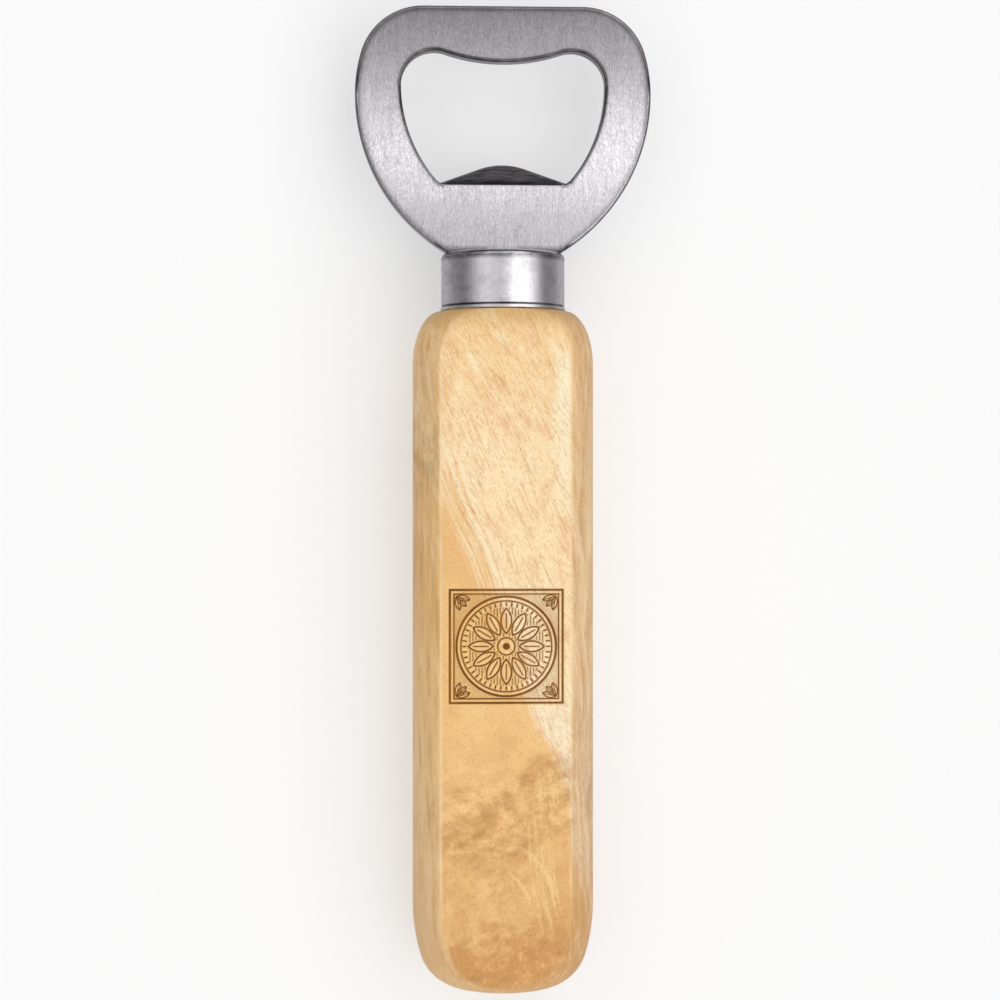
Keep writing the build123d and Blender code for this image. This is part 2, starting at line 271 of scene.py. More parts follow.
def turned_profile():
    """(radius, y) along the turned handle, from the middle of the butt to the bottom of the bore."""
    crown, crown_turn = PROFILE_CROWN[0], math.radians(PROFILE_CROWN[1])
    corner, corner_turn = PROFILE_CORNER[0], math.radians(PROFILE_CORNER[1])
    slope = crown_turn + corner_turn
    corner_x = crown * math.sin(crown_turn) + corner * (math.sin(slope) - math.sin(crown_turn))
    flank = (HANDLE_RADIUS - corner_x) / (1 - math.sin(slope))
    points = [(0.0, BUTT_Y)]
    x, y = 0.0, BUTT_Y
    for radius, low, high, count in (
        (crown, 0.0, crown_turn, 12),
        (corner, crown_turn, slope, 26),
        (flank, slope, math.pi / 2, 14),
    ):
        for a in np.linspace(low, high, count + 1)[1:]:
            across = radius * (math.sin(a) - math.sin(low))
            along = radius * (math.cos(low) - math.cos(a))
            points.append((x + across, y + along))
        x, y = points[-1]
    ellipse_y = SHOULDER_Y - SHOULDER_LENGTH
    low_edge, high_edge = PANEL_Y - PANEL_HOLE, PANEL_Y + PANEL_HOLE
    for a, b in ((y, low_edge), (low_edge, high_edge), (high_edge, ellipse_y)):
        count = max(2, round((b - a) / WALL_STEP))
        points += [(HANDLE_RADIUS, float(v)) for v in np.linspace(a, b, count + 1)[1:]]
    fall = HANDLE_RADIUS - SHOULDER_RADIUS
    for a in np.linspace(0, math.pi / 2, 30)[1:]:
        points.append((SHOULDER_RADIUS + fall * math.cos(a), ellipse_y + SHOULDER_LENGTH * math.sin(a)))
    bore_end = TENON_TOP_Y - BORE_DEPTH
    points += [
        (TENON_RADIUS, SHOULDER_Y),
        (TENON_RADIUS, TENON_TOP_Y - TENON_CHAMFER),
        (TENON_RADIUS - TENON_CHAMFER, TENON_TOP_Y),
        (BORE_RADIUS, TENON_TOP_Y),
        (BORE_RADIUS, bore_end),
        (0.0, bore_end - DRILL_POINT),
    ]
    return points


def around_angles():
    """Angles round the handle's section from the top, close together where a flat meets the turned side."""
    across = np.linspace(-PANEL_HOLE, PANEL_HOLE, 21)
    flat = np.arctan(across / HALF_THICKNESS)
    at_edge, past_edge, to_side = np.linspace(44.5, 48, 10), np.linspace(49, 54, 5), np.linspace(57, 87, 9)
    edge = np.radians(np.concatenate([at_edge, past_edge, to_side]))
    front = np.concatenate([-edge[::-1], flat, edge])
    side = np.array([math.pi / 2])
    back = math.pi - front[::-1]
    return np.concatenate([front, side, back, side + math.pi])


def section_radius(turned, angle):
    """Distance from the axis where the turned body and the two flats meet, with a lightly sanded edge."""
    p = EDGE_SHARPNESS
    flat = np.abs(np.cos(angle)) / HALF_THICKNESS
    return (np.maximum(turned, 1e-6) ** -p + flat**p) ** (-1 / p)


def line(distance, width, soft=LINE_SOFTNESS):
    """1 on a drawn line, 0 away from it, for the distance from the line's middle."""
    return np.clip(0.5 - (np.abs(distance) - width / 2) / soft, 0, 1)


def stripes(value, pitch, width):
    """Drawn lines at an even pitch."""
    return line((value + pitch / 2) % pitch - pitch / 2, width, 0.1)


def lens(along, across, length, width):
    """Distance outside a pointed leaf that runs along from 0 to length; negative inside."""
    bow = width / 2
    radius = ((length / 2) ** 2 + bow**2) / (2 * bow)
    return np.hypot(along - length / 2, np.abs(across) + radius - bow) - radius


def spokes(angle, count):
    """The angle from the nearest of a number of even spokes."""
    pitch = 2 * math.pi / count
    return (angle + pitch / 2) % pitch - pitch / 2


def medallion(x, y, r):
    """The drawn lines of the round rosette: ticks, petals with ribs, hub and hatching between the petals."""
    angle = np.arctan2(y, x)
    ticks = line(spokes(angle, TICKS) * r, 0.2) * (np.abs(r - TICK_RADIUS) < HALF_TICK)
    off = spokes(angle, PETALS)
    along, across = r * np.cos(off) - PETAL_START, r * np.sin(off)
    petal = lens(along, across, *PETAL_SIZE)
    outline = line(petal + 0.1, 0.22) * (petal < 0.1)
    rib = line(across, 0.16) * (np.abs(along - RIB_MIDDLE) < HALF_RIB)
    hub = np.clip((HUB_RADIUS - r) / LINE_SOFTNESS + 0.5, 0, 1)
    between = (petal > 0.16) * (r > HATCH_RINGS[0]) * (r < HATCH_RINGS[1])
    return [ticks, outline, rib, hub, HATCH_DEPTH * stripes(x, HATCH_PITCH, 0.16) * between]


def corner_leaves(x, y, r, square):
    """The drawn lines of the three leaves in each corner and the slanting hatch behind them."""
    marks = []
    in_x, in_y = CORNER - np.abs(x), CORNER - np.abs(y)
    nearest = np.full_like(x, 9.0)
    for spread in CORNER_LEAVES:
        turn = math.radians(45 + spread)
        along = in_x * math.cos(turn) + in_y * math.sin(turn)
        across = in_y * math.cos(turn) - in_x * math.sin(turn)
        leaf = lens(along, across, *LEAF_SIZE)
        nearest = np.minimum(nearest, leaf)
        marks.append(np.maximum(line(leaf + 0.08, 0.18), line(across, 0.12) * (leaf < -0.05)))
    behind = (r > SLANT_EDGE) * (square < SLANT_EDGE) * (nearest > 0.16)
    marks.append(SLANT_DEPTH * stripes(x + y, SLANT_PITCH, 0.13) * behind)
    return marks


def engraving(x, y):
    """Depth of the engraved rosette panel at points measured from its middle: 1 is full depth."""
    square = np.maximum(np.abs(x), np.abs(y))
    r = np.hypot(x, y)
    marks = [line(square - half, width) for half, width in SQUARES]
    marks += [line(r - radius, width) for radius, width in RINGS]
    marks += medallion(x, y, r) + corner_leaves(x, y, r, square)
    return np.maximum.reduce(marks)


def soften(grid, rounds):
    """A grid of values spread to its neighbours a number of times."""
    for _ in range(rounds):
        for axis in (0, 1):
            grid = (np.roll(grid, 1, axis) + 2 * grid + np.roll(grid, -1, axis)) / 4
    return grid


def engraved_patch():
    """The panel's fine grid of points, and the depth of the engraving at each."""
    steps = np.linspace(-PATCH_HALF, PATCH_HALF, PATCH_CELLS + 1)
    x, y = np.meshgrid(steps, steps)
    depth = engraving(x, y)
    reach = np.hypot(x, HALF_THICKNESS) / HANDLE_RADIUS
    crown = HALF_THICKNESS * (1 - reach**EDGE_SHARPNESS) ** (1 / EDGE_SHARPNESS)
    points = np.stack([x, y + PANEL_Y, AXIS_Z + crown - ENGRAVING_DEPTH * depth], -1)
    return points.reshape(-1, 3), depth


def joining_triangles(coarse, fine):
    """Triangles between a coarse row of points and a fine one that run side by side."""
    faces = []
    i = j = 0
    while i < len(coarse) - 1 or j < len(fine) - 1:
        share_i = (i + 0.5) / (len(coarse) - 1)
        share_j = (j + 0.5) / (len(fine) - 1)
        if j == len(fine) - 1 or (i < len(coarse) - 1 and share_i <= share_j):
            faces.append((int(coarse[i]), int(coarse[i + 1]), int(fine[j])))
            i += 1
        else:
            faces.append((int(coarse[i]), int(fine[j + 1]), int(fine[j])))
            j += 1
    return faces


def body_faces(hole):
    """Quads round the handle's coarse rows, but none in the panel's hole, and fans at both ends."""
    rows, columns = hole.shape
    end, last = rows * columns, (rows - 1) * columns
    faces = []
    for i in range(rows - 1):
        for j in range(columns):
            k = (j + 1) % columns
            if hole[i, j] and hole[i, k] and hole[i + 1, j] and hole[i + 1, k]:
                continue
            faces.append((i * columns + j, i * columns + k, (i + 1) * columns + k, (i + 1) * columns + j))
    for j in range(columns):
        k = (j + 1) % columns
        faces.append((end, k, j))
        faces.append((end + 1, last + j, last + k))
    return faces


def patch_faces(hole, x, first):
    """Quads of the fine grid, whose points start at the number first, and triangles that join it in."""
    columns = hole.shape[1]
    side = PATCH_CELLS + 1
    fine = first + np.arange(side * side).reshape(side, side)
    quads = np.stack([fine[:-1, :-1], fine[:-1, 1:], fine[1:, 1:], fine[1:, :-1]], -1).reshape(-1, 4)
    faces = [tuple(q) for q in quads.tolist()]
    row_ids = np.where(hole.any(1))[0]
    column_ids = np.where(hole.any(0))[0]
    column_ids = column_ids[np.argsort(x[row_ids[0], column_ids])]
    rim = row_ids[:, None] * columns + column_ids[None, :]
    faces += joining_triangles(rim[0], fine[0])
    faces += joining_triangles(rim[:, -1], fine[:, -1])
    faces += joining_triangles(rim[-1, ::-1], fine[-1, ::-1])
    faces += joining_triangles(rim[::-1, 0], fine[::-1, 0])
    return faces


def build_handle():
    """The turned handle with its two flats, and the engraved panel set into the front flat."""
    profile = turned_profile()
    angles = around_angles()
    radii, heights = np.array(profile[1:-1]).T
    rho = section_radius(radii[:, None], angles[None, :])
    x = rho * np.sin(angles)
    y = np.repeat(heights[:, None], len(angles), axis=1)
    z = rho * np.cos(angles)
    body = np.stack([x, y, z + AXIS_Z], -1).reshape(-1, 3)
    ends = np.array([(0, profile[0][1], AXIS_Z), (0, profile[-1][1], AXIS_Z)])
    patch, depth = engraved_patch()
    points = np.concatenate([body, ends, patch])

    in_x = (np.abs(x) <= PANEL_HOLE + HOLE_TOLERANCE[0]) & (z > 0)
    in_y = np.abs(y - PANEL_Y) <= PANEL_HOLE + HOLE_TOLERANCE[1]
    hole = in_x & in_y
    faces = body_faces(hole) + patch_faces(hole, x, len(body) + len(ends))
    used = np.zeros(len(points), bool)
    used[[v for face in faces for v in face]] = True
    renumber = np.cumsum(used) - 1
    faces = [tuple(int(renumber[v]) for v in face) for face in faces]
    handle = mesh_object("wooden_handle", points[used], faces)

    beyond = radii[:, None] * np.abs(np.cos(angles)) - HALF_THICKNESS
    on_flat = np.clip(0.5 + beyond / FACE_FADE, 0, 1)
    arris = np.exp(-((beyond / ARRIS_WIDTH) ** 2))
    for name, on_body, on_patch in (
        ("burn", np.zeros(x.shape), depth),
        ("scorch", np.zeros(x.shape), soften(depth, HALO_ROUNDS)),
        ("face", on_flat, np.ones(depth.shape)),
        ("arris", arris, np.zeros(depth.shape)),
    ):
        store(handle, name, np.concatenate([on_body.ravel(), np.zeros(len(ends)), on_patch.ravel()])[used])
    return handle


# The head's outline and opening, by the same driving sizes as the CAD part.
WIDEST_Y = 60.0
CORNER_RADIUS = 9.65
UPPER_SIDE_RADIUS = 21.4
LOWER_SIDE_RADIUS = 27.35
OPENING_HALF_WIDTH = 15.15
OPENING_BOTTOM_Y = 46.4
OPENING_CORNER_RISE = 0.45
OPENING_CORNER_CUT = 0.3
LOBE_TOP_Y = 66.3
LOBE_RADIUS = 4.95
FULCRUM_Y = 64.65
OPENING_SIDE_RADIUS = 21.9
TONGUE_HALF_BASE = 10.25
TONGUE_PEAK = 4.1
TONGUE_TIP_RADIUS = 9.0
TANG_HALF_WIDTH = 3.5
TANG_POINT = (1.3, 5.0)
BARBS = (5, 4.0, 0.6)
BARB_START_Y = FERRULE_TOP_Y - 8.0

# The tongue's fold on top and its elbow below: (where it starts, half its rounding).
TONGUE_FOLD = (OPENING_BOTTOM_Y, 0.15)
TONGUE_ELBOW = (OPENING_BOTTOM_Y - 0.25, 0.8)

# The head's mesh: the outline's steps, the rounding of its edges and the points of its flat faces.
OUTLINE_STEP = 0.3
OUTER_ROUND = 0.5
OPENING_ROUND = 0.35
TANG_ROUND = 0.05
ROUND_STEPS = 5
INSET_ROWS = (0.25, 0.6, 1.1, 1.8)
GRID_STEP = 1.2
GRID_HALF_WIDTH = 21.0
FOLD_HALF_WIDTH = 8.7
FOLD_ROWS = (-0.9, -0.45, -0.15, -0.05, 0.05, 0.15, 0.4, 0.8, 1.4, 2.0, 2.6)
POINT_ROOM = 0.2

# How strong the painted shade on the head's rims is: on the rounding, down the wall, and how far the painted
# shade reaches on the face; TONGUE_RIM covers the bent tongue.
OUTER_RIM = 0.9
OPENING_RIM = 1.2
OUTER_WALL_RIM = 0.5
OPENING_WALL_RIM = 1.1
RIM_REACH = 0.9
OPENING_FACE_RIM = 0.35
TONGUE_RIM = 1.2


def arc(middle, radius, start, end):
    """Points on an arc, from one angle in degrees to another, both included."""
    count = max(2, math.ceil(abs(math.radians(end - start)) * radius / OUTLINE_STEP))
    angles = np.radians(np.linspace(start, end, count + 1))
    return [(middle[0] + radius * math.cos(a), middle[1] + radius * math.sin(a)) for a in angles]


def stretch(start, end):
    """Points on a straight stretch, both ends included."""
    count = max(1, math.ceil(math.dist(start, end) / OUTLINE_STEP))
    return [tuple(p) for p in np.linspace(start, end, count + 1)]


def closed_loop(half):
    """A closed outline from its right half, which runs down from its top middle to its bottom middle."""
    kept = [p for i, p in enumerate(half) if i == 0 or math.dist(p, half[i - 1]) > 1e-6]
    left = [(-x, y) for x, y in kept[-2:0:-1]]
    return np.array(kept + left)


def head_loop():
    """The outline of the head with its barbed tang."""
    upper = (HALF_HEAD - UPPER_SIDE_RADIUS, WIDEST_Y)
    lower = (HALF_HEAD - LOWER_SIDE_RADIUS, WIDEST_Y)
    corner_y = HEAD_TOP_Y - CORNER_RADIUS
    corner_x = upper[0] + math.sqrt((UPPER_SIDE_RADIUS - CORNER_RADIUS) ** 2 - (corner_y - WIDEST_Y) ** 2)
    turn = math.degrees(math.atan2(corner_y - upper[1], corner_x - upper[0]))
    foot_turn = -math.degrees(math.asin((WIDEST_Y - FERRULE_TOP_Y) / LOWER_SIDE_RADIUS))
    half = stretch((0, HEAD_TOP_Y), (corner_x, HEAD_TOP_Y))
    half += arc((corner_x, corner_y), CORNER_RADIUS, 90, turn)
    half += arc(upper, UPPER_SIDE_RADIUS, turn, 0)
    half += arc(lower, LOWER_SIDE_RADIUS, 0, foot_turn)
    half += stretch(half[-1], (TANG_HALF_WIDTH, FERRULE_TOP_Y))
    half += stretch((TANG_HALF_WIDTH, FERRULE_TOP_Y), (TANG_HALF_WIDTH, BARB_START_Y))
    barbs, pitch, depth = BARBS
    for index in range(barbs):
        y = BARB_START_Y - pitch * index
        half += stretch((TANG_HALF_WIDTH - depth, y), (TANG_HALF_WIDTH, y - pitch))
    tip_half_width, taper = TANG_POINT
    half += [(TANG_HALF_WIDTH, TANG_TIP_Y + taper), (tip_half_width, TANG_TIP_Y), (0, TANG_TIP_Y)]
    return closed_loop(half)


def opening_side(y):
    """Half the opening's width at a height, along its curved sides."""
    rise = LOBE_TOP_Y - LOBE_RADIUS - y
    reach = np.sqrt(np.maximum(OPENING_SIDE_RADIUS**2 - rise**2, 0))
    return OPENING_HALF_WIDTH - OPENING_SIDE_RADIUS + reach


def tongue_edge(x):
    """The tongue's edge in plan: two slanting flanks and a round tip."""
    slope = TONGUE_PEAK / TONGUE_HALF_BASE
    flank = OPENING_BOTTOM_Y + TONGUE_PEAK - slope * np.abs(x)
    lift = math.sqrt(1 + slope**2)
    tip_middle = OPENING_BOTTOM_Y + TONGUE_PEAK - TONGUE_TIP_RADIUS * lift
    round_tip = tip_middle + np.sqrt(np.maximum(TONGUE_TIP_RADIUS**2 - np.square(x), 0))
    return np.where(np.abs(x) < TONGUE_TIP_RADIUS * slope / lift, round_tip, flank)


def opening_loop():
    """The outline of the opening as seen from above, with the tongue reaching into it."""
    lobe = (OPENING_HALF_WIDTH - LOBE_RADIUS, LOBE_TOP_Y - LOBE_RADIUS)
    rise = FULCRUM_Y - lobe[1]
    bulge = (lobe[0] ** 2 + rise**2 - LOBE_RADIUS**2) / (2 * (LOBE_RADIUS - rise))
    meet = math.degrees(math.atan2(FULCRUM_Y + bulge - lobe[1], -lobe[0]))
    half = arc((0, FULCRUM_Y + bulge), bulge, -90, meet - 180)
    half += arc(lobe, LOBE_RADIUS, meet, 0)
    corner_y = OPENING_BOTTOM_Y + OPENING_CORNER_RISE
    fall = lobe[1] - corner_y - OPENING_CORNER_CUT
    side_turn = -math.degrees(math.asin(fall / OPENING_SIDE_RADIUS))
    half += arc((OPENING_HALF_WIDTH - OPENING_SIDE_RADIUS, lobe[1]), OPENING_SIDE_RADIUS, 0, side_turn)
    corner_x = float(opening_side(corner_y))
    across = np.linspace(corner_x - OPENING_CORNER_CUT, 0, round(corner_x / OUTLINE_STEP))
    half += [(float(x), float(tongue_edge(x))) for x in across]
    return closed_loop(half)


def inward(loop):
    """Unit normals to the right of a closed loop's direction of travel."""
    ahead = np.roll(loop, -1, 0) - loop
    ahead /= np.linalg.norm(ahead, axis=1)[:, None]
    both = ahead + np.roll(ahead, 1, 0)
    both /= np.linalg.norm(both, axis=1)[:, None]
    return np.stack([both[:, 1], -both[:, 0]], -1)


def inside_loop(points, loop):
    """Whether each point is inside a closed loop."""
    x, y = points[:, 0, None], points[:, 1, None]
    x0, y0 = loop[:, 0], loop[:, 1]
    x1, y1 = np.roll(x0, -1), np.roll(y0, -1)
    rise = np.where(y1 == y0, 1e-9, y1 - y0)
    crossing = ((y0 > y) != (y1 > y)) & (x < (x1 - x0) * (y - y0) / rise + x0)
    return crossing.sum(1) % 2 == 1


def bend(points, fold):
    """How far the tongue has dropped at each point in plan, and how steeply, past a rounded fold."""
    start, soft = fold
    u = points[:, 1] - start
    drop = np.where(u > soft, u, np.maximum(u + soft, 0) ** 2 / (4 * soft))
    steep = np.clip((u + soft) / (2 * soft), 0, 1)
    within = (points[:, 1] < OPENING_BOTTOM_Y + TONGUE_PEAK) & (points[:, 1] > TONGUE_ELBOW[0] - 1)
    share = np.clip((opening_side(points[:, 1]) - np.abs(points[:, 0])) / 0.5, 0, 1) * within
    return drop * share, steep * share


def upright(steep):
    """Unit normals of the top face, which lean where the tongue is bent."""
    normals = np.stack([np.zeros(len(steep)), steep, np.ones(len(steep))], -1)
    return normals / np.linalg.norm(normals, axis=1)[:, None]


class Outline:
    """Both outlines of the head together, with what is needed to round them and to fill between them."""

    def __init__(self):
        self.outer, self.hole = head_loop(), opening_loop()
        self.split = len(self.outer)
        self.edge = np.concatenate([self.outer, self.hole])
        self.inner = np.concatenate([inward(self.outer), -inward(self.hole)])
        self.count = len(self.edge)
        fade = np.clip((self.outer[:, 1] - FERRULE_TOP_Y - 0.2) / 1.0, 0, 1)
        self.rounds = self.both(TANG_ROUND + (OUTER_ROUND - TANG_ROUND) * fade, OPENING_ROUND)
        self.here = np.arange(self.count)
        outer_after = np.roll(self.here[: self.split], -1)
        self.after = np.concatenate([outer_after, np.roll(self.here[self.split :], -1)])

    def both(self, on_outer, on_hole):
        """One value for each point of the outer outline and another for each point of the opening."""
        on_outer = np.broadcast_to(on_outer, self.split)
        return np.concatenate([on_outer, np.full(self.count - self.split, on_hole)])

    def inset(self, distance):
        """The outlines moved into the steel."""
        return self.edge + self.inner * np.reshape(distance, (-1, 1))


def rounded_rims(outline):
    """Rows of points round the edges, a quarter turn on top and one below, with normals and rim values (the
    strength of the painted edge shade).
    """
    weight = outline.both(OUTER_RIM, OPENING_RIM)
    wall = outline.both(OUTER_WALL_RIM, OPENING_WALL_RIM)
    points, normals, rims = [], [], []
    turns = np.linspace(math.pi / 2, 0, ROUND_STEPS + 1)
    for top, level, fold, order in (
        (1, PLATE_TOP_Z, TONGUE_FOLD, turns),
        (-1, PLATE_BOTTOM_Z, TONGUE_ELBOW, turns[::-1]),
    ):
        for a in order:
            plan = outline.inset(outline.rounds * (1 - math.cos(a)))
            drop, steep = bend(plan, fold)
            points.append(np.column_stack([plan, level - drop - top * outline.rounds * (1 - math.sin(a))]))
            normal = top * math.sin(a) * upright(steep)
            normal[:, :2] -= outline.inner * math.cos(a)
            normals.append(normal)
            rims.append(weight * (wall + (1 - wall) * math.sin(a)))
    faces = []
    for row in range(len(points) - 1):
        low, high = row * outline.count, (row + 1) * outline.count
        quads = [low + outline.here, low + outline.after, high + outline.after, high + outline.here]
        faces += np.stack(quads, -1).tolist()
    return points, normals, rims, faces


def face_points(outline):
    """Points for the flat faces: rows set in from both outlines, a grid, and rows across the fold."""
    on_head = outline.edge[:, 1] > FERRULE_TOP_Y + 0.6
    loose = [outline.inset(outline.rounds + offset)[on_head] for offset in INSET_ROWS]
    grid_y = np.arange(FERRULE_TOP_Y + GRID_STEP, HEAD_TOP_Y, GRID_STEP)
    gx, gy = np.meshgrid(np.arange(-GRID_HALF_WIDTH, GRID_HALF_WIDTH + 0.1, GRID_STEP), grid_y)
    loose.append(np.column_stack([gx.ravel(), gy.ravel()]))
    fold_x = np.arange(-FOLD_HALF_WIDTH, FOLD_HALF_WIDTH + 0.01, OUTLINE_STEP)
    for offset in FOLD_ROWS:
        row_y = OPENING_BOTTOM_Y + offset
        row = np.column_stack([fold_x, np.full(len(fold_x), row_y)])
        loose.append(row[tongue_edge(fold_x) > row_y + 0.5])
    loose = np.concatenate(loose)
    gap = np.sqrt(((loose[:, None, :] - outline.edge[None, :, :]) ** 2).sum(-1)) - outline.rounds
    kept = inside_loop(loose, outline.outer) & ~inside_loop(loose, outline.hole)
    kept &= gap.min(1) > POINT_ROOM
    return loose[kept], gap[kept]


def face_triangles(outline, loose):
    """Triangles of a flat face; points are counted along the outlines first, then the loose ones."""
    inset = outline.inset(outline.rounds)
    plan = np.concatenate([inset, loose])
    constraints = np.stack([outline.here, outline.after], -1).tolist()
    found = delaunay_2d_cdt([Vector(p) for p in plan.tolist()], constraints, [], 1, 1e-7, True)
    source = [ids[0] for ids in found[3]]
    triangles = np.array([[source[v] for v in face] for face in found[2]])
    middles = plan[triangles].mean(1)
    in_outer = inside_loop(middles, inset[: outline.split])
    return triangles[in_outer & ~inside_loop(middles, inset[outline.split :])]


def face_rims(outline, loose, gap):
    """How strong the painted shade on the flat faces is: a little near the rims, and all of the tongue."""
    nearest = gap.argmin(1)
    edge = np.where(nearest < outline.split, 1.0, OPENING_FACE_RIM)
    rim = edge * np.clip(1 - gap.min(1) / RIM_REACH, 0, 1) ** 2
    # painted shade over the whole bent tongue, standing in for its darker reflection
    past_fold = (loose[:, 1] > OPENING_BOTTOM_Y) & (loose[:, 1] < OPENING_BOTTOM_Y + TONGUE_PEAK + 1)
    tongue = (np.abs(loose[:, 0]) < TONGUE_HALF_BASE) & past_fold
    return np.where(tongue, np.maximum(rim, TONGUE_RIM), rim)


def turned_outward(faces, points, normals):
    """The faces, each turned to the side that its points' normals show."""
    outward = []
    for face in faces:
        a, b, c = points[face[0]], points[face[1]], points[face[2]]
        if np.dot(np.cross(b - a, c - a), normals[face].sum(0)) < 0:
            face = face[::-1]
        outward.append(face)
    return outward


def build_head():
    """The stamped head: rounded edges, flat faces, the tongue bent down and the tang below."""
    outline = Outline()
    points, normals, rims, faces = rounded_rims(outline)
    total = len(points) * outline.count
    last_row = total - outline.count
    loose, gap = face_points(outline)
    triangles = face_triangles(outline, loose)
    rim = face_rims(outline, loose, gap)
    for top, level, fold, row, start in (
        (1, PLATE_TOP_Z, TONGUE_FOLD, 0, total),
        (-1, PLATE_BOTTOM_Z, TONGUE_ELBOW, last_row, total + len(loose)),
    ):
        drop, steep = bend(loose, fold)
        points.append(np.column_stack([loose, level - drop]))
        normals.append(top * upright(steep))
        rims.append(rim)
        on_outline = triangles < outline.count
        faces += np.where(on_outline, triangles + row, triangles - outline.count + start).tolist()
    points, normals = np.concatenate(points), np.concatenate(normals)
    head = mesh_object("stamped_head", points, turned_outward(faces, points, normals))
    head.data.normals_split_custom_set_from_vertices(normals.tolist())
    store(head, "rim", np.concatenate(rims))
    return head


# ---------------------------------------------------------------- materials

HEAD_STEEL = (0.62, 0.59, 0.615)
FERRULE_STEEL = (0.76, 0.735, 0.76)
# painted shade on the head's rounded edges and walls, darkest at the foot where it meets the ferrule
EDGE_SHADE_GREY = (0.07, 0.064, 0.07, 1)
FOOT_SHADE_BLACK = (0.016, 0.014, 0.016, 1)
# painted shade where the ferrule meets the head and the wood
CREASE_SHADE = (0.035, 0.03, 0.033, 1)
PRESS_LINE = (0.02, 0.018, 0.02, 1)

# Painted shade on the ferrule, in the crease under the head and just above the wood: (middle, reach,
# strength).
FERRULE_CREASE_SHADE = (
    (FERRULE_TOP_Y - 0.8, 0.8, 0.74),
    (FERRULE_TOP_Y - 0.3, 0.3, 0.9),
    (SHOULDER_Y + 0.75, 0.3, 0.8),
    (SHOULDER_Y, 0.25, 0.6),
)
TONGUE_ROUGH_TOP_Y = 50.6


def steel_material(name, roughness, base, brushing, scuffs, crease_shade=()):
    """Steel brushed along its length, with dull scuffs, painted shade on its rounded edges, walls and bent
    tongue, a rough tongue with dark press lines, and painted shade where the ferrule meets the head and the
    wood.
    """
    material, n = new_material(name)
    place = n.object_place()
    axes = n.add("ShaderNodeSeparateXYZ", {0: place})
    across, height = axes.outputs[0], axes.outputs[1]
    bent = n.warp(place, 6.0, 0.5)
    fine = n.noise(n.place(bent, (0.13, 0.75, 0.13), 4), 2.0, 0.7)
    hair = n.noise(n.place(bent, (0.1, 4.0, 0.1), -3), 1.0, 0.5)
    broad = n.noise(n.place(bent, (0.9, 7.0, 0.9)), 3.0, 0.6)
    cloud = n.noise(n.place(place, (3.2, 2.0, 3.2)), 4.0, 0.62)
    grit = n.noise(n.place(place, (0.17, 0.26, 0.17)), 1.0, 0.5)
    tone = n.weighted(((fine, 0.36), (hair, 0.12), (broad, 0.16), (cloud, 0.16), (grit, 0.2)))
    dark = tuple(c * (1 - brushing) for c in base) + (1,)
    light = tuple(min(1.0, c * (1 + brushing)) for c in base) + (1,)
    dull = tuple(c * 0.45 for c in base) + (1,)
    colour = n.mix(n.ramp(tone, 0.36, 0.64, smooth=False), dark, light)
    colour = n.mix(n.times(n.ramp(cloud, 0.44, 0.66), scuffs), colour, dull)

    # painted shade on the rounded edges, walls and tongue, standing in for their dark reflections; strongest
    # at the foot beside the ferrule, and stronger towards the top
    rim_shade_colour = n.mix(n.ramp(height, 38.6, 37.6), EDGE_SHADE_GREY, FOOT_SHADE_BLACK)
    rim_shade_strength = n.math("MAXIMUM", n.ramp(height, 44, 68, 0.7, 1.0), n.ramp(height, 38.4, 37.2, 0.7, 1.4))
    rim_shade_amount = n.times(n.attribute("rim"), 0.84, n.ramp(cloud, 0.3, 0.6, 0.8, 1.0), rim_shade_strength)
    colour = n.mix(rim_shade_amount, colour, rim_shade_colour)
    # painted shade in the creases where the ferrule meets the head and the wood
    for middle, reach, strength in crease_shade:
        near = n.ramp(n.away(height, middle), 0.0, reach, strength, 0.0)
        colour = n.mix(n.times(near, n.ramp(cloud, 0.3, 0.6, 0.5, 1.0)), colour, CREASE_SHADE)

    # the tongue is rough from the press, with dark lines across it
    tongue = n.times(
        n.ramp(height, OPENING_BOTTOM_Y, OPENING_BOTTOM_Y + 0.2),
        n.ramp(height, TONGUE_ROUGH_TOP_Y + 0.4, TONGUE_ROUGH_TOP_Y),
        n.ramp(n.away(across, 0.0), TONGUE_HALF_BASE + 0.35, TONGUE_HALF_BASE - 0.05),
    )
    lines = n.noise(n.place(place, (3.0, 0.15, 0.15), 3), 2.0, 0.6)
    colour = n.mix(n.times(tongue, n.ramp(lines, 0.42, 0.6, 0.0, 0.75)), colour, PRESS_LINE)

    rough = n.ramp(tone, 0.36, 0.64, roughness * 1.15, roughness * 0.9)
    turning = n.add("ShaderNodeTangent", direction_type="RADIAL", axis="Y")
    relief = n.bump(tone, 0.2, 0.000006)
    metal = {"Metallic": 1.0, "Anisotropic": 0.9, "Tangent": turning}
    n.output(n.surface(**metal, Base_Color=colour, Roughness=rough, Normal=relief))
    return material


# Colours of the wood, from the pored part through the warm part to the turned sides and the engraving.
PALE_UPPER = srgb(247, 208, 152)
PALE_LOWER = srgb(255, 228, 180)
PALE_BELOW_PANEL = srgb(255, 240, 208)
PALE_ROSY = srgb(240, 192, 144)
PALE_BRIGHT = srgb(255, 232, 188)
WARM_UPPER = srgb(236, 186, 123)
WARM_LOWER = srgb(246, 199, 133)
WARM_BUTT = srgb(222, 168, 105)
WARM_DARK = srgb(226, 170, 104)
WARM_BRIGHT = srgb(248, 206, 144)
MOTTLE_BROWN = srgb(190, 134, 78)
MOTTLE_GOLD = srgb(252, 210, 146)
ISLAND_YELLOW = srgb(246, 202, 132)
ARCH_LIGHT = srgb(252, 216, 152)
FIBRE_LIGHT = srgb(252, 216, 154)
STREAK_LIGHT = srgb(255, 236, 198)
STREAK_DARK = srgb(222, 166, 106)
